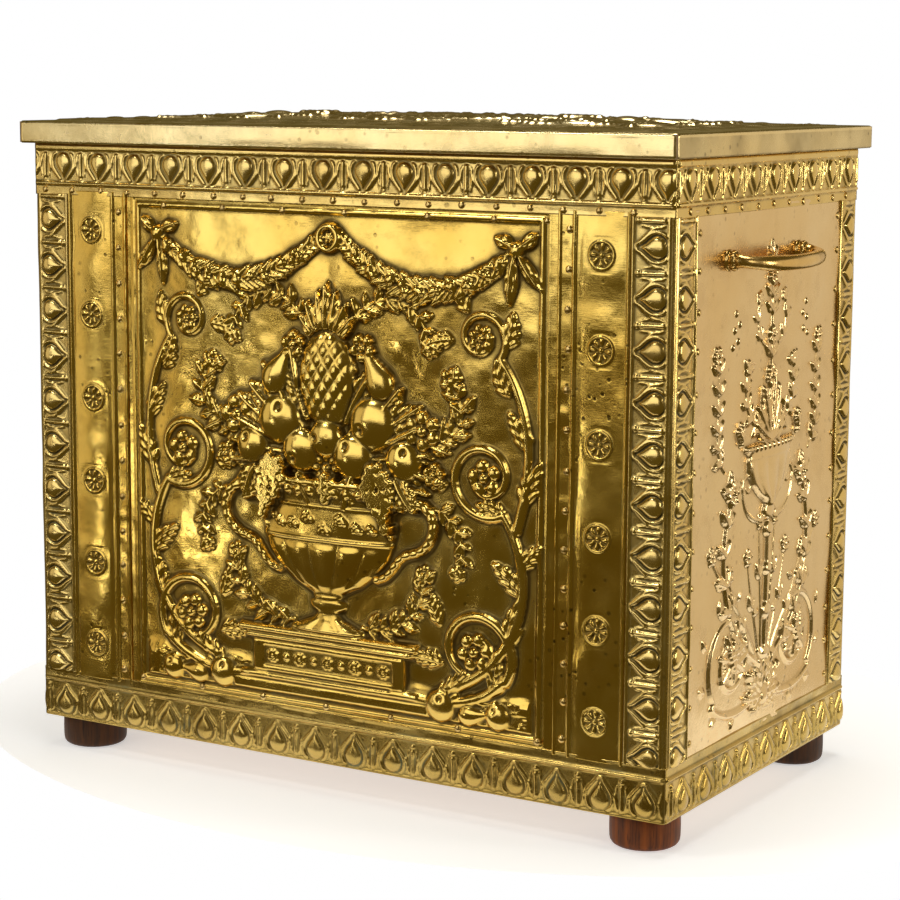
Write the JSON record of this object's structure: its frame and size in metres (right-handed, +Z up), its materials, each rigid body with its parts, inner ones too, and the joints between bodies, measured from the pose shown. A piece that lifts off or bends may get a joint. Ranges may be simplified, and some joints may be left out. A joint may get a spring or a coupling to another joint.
{
  "type": "kindling box",
  "caption": "Wooden kindling box clad in pressed brass sheet with egg-and-dart borders, fixed side handles, turned wooden feet and a lid hinged along the back.",
  "frame": {"origin": "centre of the outline's base: on the floor under the middle of the box with its lid shut, handles included", "axes": "+Z up; -Y towards the front, the side with the pressed picture; +X to the right seen from the front; the lid's hinge line runs along X at the back"},
  "size_m": [0.6294, 0.347, 0.5094],
  "materials": {
    "carcass_wood": "bare plywood, darkened inside",
    "foot_wood": "red-brown stained hardwood, worn varnish",
    "steel_fixings": "plain steel",
    "handle_brass": "cast brass, hand-polished",
    "hinge_brass": "dull brass",
    "nail_brass": "tarnished brass",
    "front_sheet_brass": "pressed sheet, polished with dark patina in the recesses",
    "side_sheet_brass": "pressed sheet, polished and finely scratched",
    "border_brass": "pressed strip with dark patina and green tarnish in the recesses",
    "lid_brass": "pressed sheet, polished, dented along the edges"
  },
  "bodies": {
    "box": {"front_board": "carcass_wood", "back_board": "carcass_wood", "left_board": "carcass_wood", "right_board": "carcass_wood", "bottom_board": "carcass_wood", "carcass_pins": "steel_fixings", "front_left_foot": "foot_wood", "front_right_foot": "foot_wood", "back_left_foot": "foot_wood", "back_right_foot": "foot_wood", "foot_screws": "steel_fixings", "front_picture_sheet": "front_sheet_brass", "left_rosette_strip": "front_sheet_brass", "right_rosette_strip": "front_sheet_brass", "left_side_sheet": "side_sheet_brass", "right_side_sheet": "side_sheet_brass", "back_sheet": "side_sheet_brass", "front_left_corner_strip": "border_brass", "front_right_corner_strip": "border_brass", "back_left_corner_strip": "border_brass", "back_right_corner_strip": "border_brass", "top_band_front": "border_brass", "top_band_back": "border_brass", "top_band_left": "border_brass", "top_band_right": "border_brass", "bottom_band_front": "border_brass", "bottom_band_back": "border_brass", "bottom_band_left": "border_brass", "bottom_band_right": "border_brass", "front_nails": "nail_brass", "back_nails": "nail_brass", "left_nails": "nail_brass", "right_nails": "nail_brass", "left_hinge_body_leaf": "hinge_brass", "right_hinge_body_leaf": "hinge_brass", "left_hinge_pin": "hinge_brass", "right_hinge_pin": "hinge_brass", "body_hinge_screws": "hinge_brass", "left_handle_bow": "handle_brass", "right_handle_bow": "handle_brass", "left_handle_collars": "handle_brass", "right_handle_collars": "handle_brass", "left_handle_washers": "steel_fixings", "right_handle_washers": "steel_fixings", "left_handle_nuts": "steel_fixings", "right_handle_nuts": "steel_fixings"},
    "lid": {"lid_board": "carcass_wood", "lid_sheet": "lid_brass", "left_hinge_lid_leaf": "hinge_brass", "right_hinge_lid_leaf": "hinge_brass", "lid_hinge_screws": "hinge_brass"}
  },
  "joints": [
    {"name": "lid_hinge", "type": "hinge", "parent": "box", "child": "lid", "pos_m": [0, 0.1621, 0.484], "axis": [-1, 0, 0], "range_deg": [0, 100]}
  ]
}
